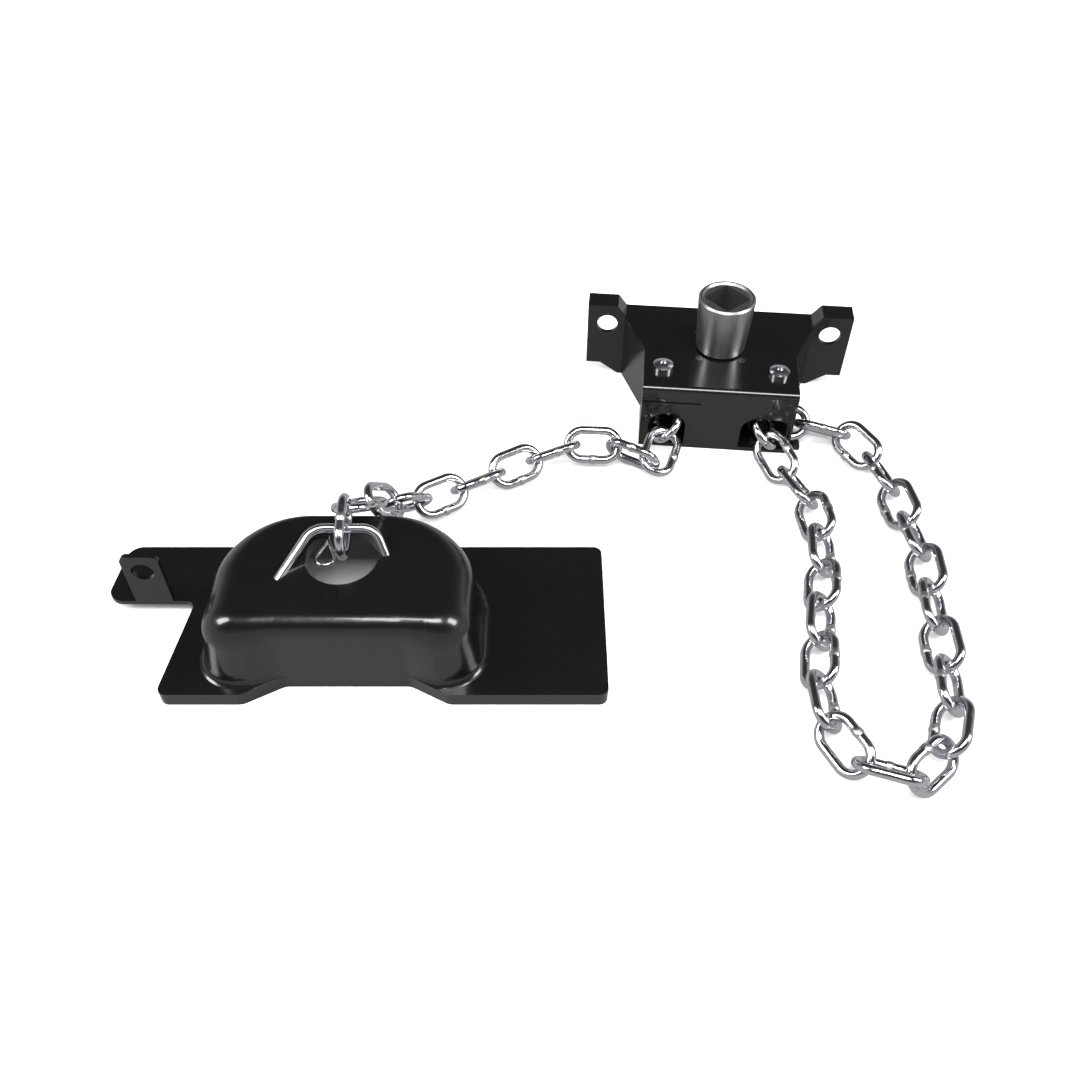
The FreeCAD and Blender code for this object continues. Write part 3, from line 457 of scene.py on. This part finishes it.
class WINCH_OT_chain(bpy.types.Operator):
    """Welded zinc links in the place of the CAD links"""
    bl_idname = "winch.chain"
    bl_label = "Chain links"

    def execute(self, context):
        look = context.scene.winch_finishes
        size = context.scene.winch_link
        finish = zinc_plate("bright_zinc_wire", look.zinc, look.zinc_shade, look.weld_tint)
        meshes = {}
        for name in LINK_NODES + ["chain_on_wheel"]:
            parts = islands(NODES[name].data)
            whole = []
            for points, triangles in parts:
                centre, along, side, up, half, width, wire = link_pose(points, triangles)
                if "link" not in meshes:
                    meshes["link"] = link_mesh("welded_link", half, width, wire, size.bead,
                                               size.bead_length, size.stations, size.sides)
                turn = Matrix((along, side, up)).transposed().to_4x4()
                whole.append(Matrix.Translation(Vector(centre)) @ turn)
            if len(whole) == 1:
                show(meshes["link"], "zinc_" + name, whole[0], finish, NODE_BODY[name], name)
                continue
            joined = bmesh.new()
            for matrix in whole:
                copy = meshes["link"].copy()
                copy.transform(matrix)
                joined.from_mesh(copy)
                bpy.data.meshes.remove(copy)
            mesh = bpy.data.meshes.new("links_on_wheel")
            joined.to_mesh(mesh)
            joined.free()
            mesh.shade_smooth()
            mesh.materials.clear()
            show(mesh, "zinc_links_on_wheel", Matrix(), finish, NODE_BODY[name], name)
        dress(finish, "chain_anchor")
        return {"FINISHED"}


class WINCH_OT_painted_sheet(bpy.types.Operator):
    """Gloss black enamel on the housing and the carrier plate"""
    bl_idname = "winch.painted_sheet"
    bl_label = "Painted sheet"

    def execute(self, context):
        look = context.scene.winch_finishes
        housing = black_paint("housing_enamel", look.paint, look.shine, look.peel)
        carrier = black_paint("carrier_enamel", look.carrier_paint, look.shine + 0.03, look.peel)
        dress(housing, "mounting_bracket", "side_walls", "base_plate", "chain_guide")
        dress(carrier, "carrier_plate")
        return {"FINISHED"}


class WINCH_OT_fittings(bpy.types.Operator):
    """Zinc on the screws, nuts, lifting bar and split pin"""
    bl_idname = "winch.fittings"
    bl_label = "Small fittings"

    def execute(self, context):
        look = context.scene.winch_finishes
        finish = plain_zinc("zinc_fittings", look.zinc, look.zinc_shade)
        dress(finish, "cover_screws", "cover_nuts", "chain_bar", "split_pin")
        return {"FINISHED"}


class WINCH_OT_drive(bpy.types.Operator):
    """Galvanised socket and the greased drive inside the housing"""
    bl_idname = "winch.drive"
    bl_label = "Drive train"

    def execute(self, context):
        look = context.scene.winch_finishes
        dress(galvanised("galvanised_socket", look.socket, look.socket_shade), "drive_socket")
        bronze = turned_metal("bearing_bronze", look.bronze, BRONZE_SHADE, 0.25)
        iron = turned_metal("cast_iron_wheel", look.iron, IRON_SHADE, 0.45, 0.8, 900.0)
        steel = turned_metal("oiled_steel", look.steel, STEEL_SHADE, 0.22)
        dress(bronze, "top_bush", "bottom_bush", "gear_sleeve", "thrust_washer")
        dress(iron, "chain_wheel", "cycloid_gear")
        dress(steel, "drive_shaft", "eccentric", "retaining_ring", "cone_spring", "reaction_pins")
        return {"FINISHED"}


def lamp(name, place, target, size, power):
    light = bpy.data.lights.new(name, "AREA")
    light.shape = "RECTANGLE"
    light.size, light.size_y = size
    light.energy = power
    thing = bpy.data.objects.new(name, light)
    bpy.context.scene.collection.objects.link(thing)
    place = Vector(place)
    thing.location = place
    thing.rotation_euler = (Vector(target) - place).to_track_quat("-Z", "Y").to_euler()
    return thing


class WINCH_OT_stage(bpy.types.Operator):
    """White table, soft lamps and the photograph's camera"""
    bl_idname = "winch.stage"
    bl_label = "Stage"

    def execute(self, context):
        look = context.scene.winch_stage
        scene = context.scene
        scene.view_settings.view_transform = "Standard"
        mesh = bpy.data.meshes.new("table_top")
        corners = [(x * TABLE_HALF, y * TABLE_HALF, 0) for x, y in ((-1, -1), (1, -1), (1, 1), (-1, 1))]
        mesh.from_pydata(corners, [], [(0, 1, 2, 3)])
        table = bpy.data.objects.new("table_top", mesh)
        table.location.z = -TABLE_DROP
        scene.collection.objects.link(table)
        made, s = material("white_table")
        rays = s.tree.nodes.new("ShaderNodeLightPath")
        seen = Sock(s, rays.outputs["Is Camera Ray"])
        grain = s.noise(700.0, 2.0)
        diffuse = s.add("ShaderNodeBsdfDiffuse", {}, {"Color": look.floor, "Roughness": 0.5,
                                                      "Normal": s.bump(grain, 0.02, 0.0002)})
        glow = s.add("ShaderNodeEmission", {}, {"Color": WHITE, "Strength": seen * TABLE_GLOW})
        both = s.add("ShaderNodeAddShader", {}, [diffuse, glow])
        # Painted shade: the table's glow to the camera fades out where ambient occlusion finds a hollow,
        # under the hump and close beside the parts, leaving only its lit diffuse
        open_sky = s.add("ShaderNodeAmbientOcclusion", {"samples": 8}, {"Distance": PAINTED_SHADE_REACH}, out="AO")
        bright = (open_sky * PAINTED_SHADE_STEEP - PAINTED_SHADE_START).clamped()
        both = s.add("ShaderNodeMixShader", {}, [bright, diffuse, both])
        dim = s.add("ShaderNodeEmission", {}, {"Color": WHITE, "Strength": TABLE_MIRRORED})
        share = Sock(s, rays.outputs["Is Glossy Ray"]) * MIRRORED_SHARE
        s.end("ShaderNodeOutputMaterial", s.add("ShaderNodeMixShader", {}, [share, both, dim]))
        mesh.materials.append(made)

        world = bpy.data.worlds.new("studio")
        world.use_nodes = True
        scene.world = world
        w = Shader(world.node_tree)
        path = w.tree.nodes.new("ShaderNodeLightPath")
        camera = Sock(w, path.outputs["Is Camera Ray"])
        direction = w.add("ShaderNodeTexCoord", out="Generated")
        height = w.split(direction)[2]
        room = w.ramp(height * 0.5 + 0.5, ROOM)
        glossy = Sock(w, path.outputs["Is Glossy Ray"])
        level = camera + (1.0 - camera) * (glossy * room + (1.0 - glossy) * look.ambient)
        back = w.add("ShaderNodeBackground", {}, {"Color": WHITE, "Strength": level})
        w.end("ShaderNodeOutputWorld", back)

        for light in LAMPS:
            lamp(*light)

        lens = bpy.data.cameras.new("camera")
        lens.sensor_fit = "AUTO"
        lens.angle = look.angle
        lens.clip_start = 0.01
        eye = bpy.data.objects.new("camera", lens)
        scene.collection.objects.link(eye)
        target = Vector(look.target)
        eye.location = target + look.view * Vector((0, -math.cos(look.elevation), math.sin(look.elevation)))
        eye.rotation_euler = (target - eye.location).to_track_quat("-Z", "Y").to_euler()
        scene.camera = eye
        return {"FINISHED"}


class WINCH_PT_panel(bpy.types.Panel):
    """Steps that dress the winch"""
    bl_idname = "WINCH_PT_panel"
    bl_label = "Winch looks"
    bl_space_type = "VIEW_3D"
    bl_region_type = "UI"
    bl_category = "Winch"

    def draw(self, context):
        for step in STEPS:
            self.layout.operator(step.bl_idname)
        for group in (context.scene.winch_finishes, context.scene.winch_link, context.scene.winch_stage):
            box = self.layout.box()
            for name in group.__annotations__:
                box.prop(group, name)


STEPS = [WINCH_OT_painted_sheet, WINCH_OT_drive, WINCH_OT_fittings, WINCH_OT_chain, WINCH_OT_stage]
GROUPS = [WinchFinishes, WinchLink, WinchStage]


def register():
    for made in GROUPS + STEPS + [WINCH_PT_panel]:
        bpy.utils.register_class(made)
    bpy.types.Scene.winch_finishes = bpy.props.PointerProperty(type=WinchFinishes)
    bpy.types.Scene.winch_link = bpy.props.PointerProperty(type=WinchLink)
    bpy.types.Scene.winch_stage = bpy.props.PointerProperty(type=WinchStage)


def unregister():
    del bpy.types.Scene.winch_stage
    del bpy.types.Scene.winch_link
    del bpy.types.Scene.winch_finishes
    for made in reversed(GROUPS + STEPS + [WINCH_PT_panel]):
        bpy.utils.unregister_class(made)


def plain(box):
    return [[float(v) for v in corner] for corner in box]


def main():
    register()
    bpy.ops.winch.painted_sheet()
    bpy.ops.winch.drive()
    bpy.ops.winch.fittings()
    bpy.ops.winch.chain()
    bpy.ops.winch.stage()


if __name__ == "__main__":
    main()
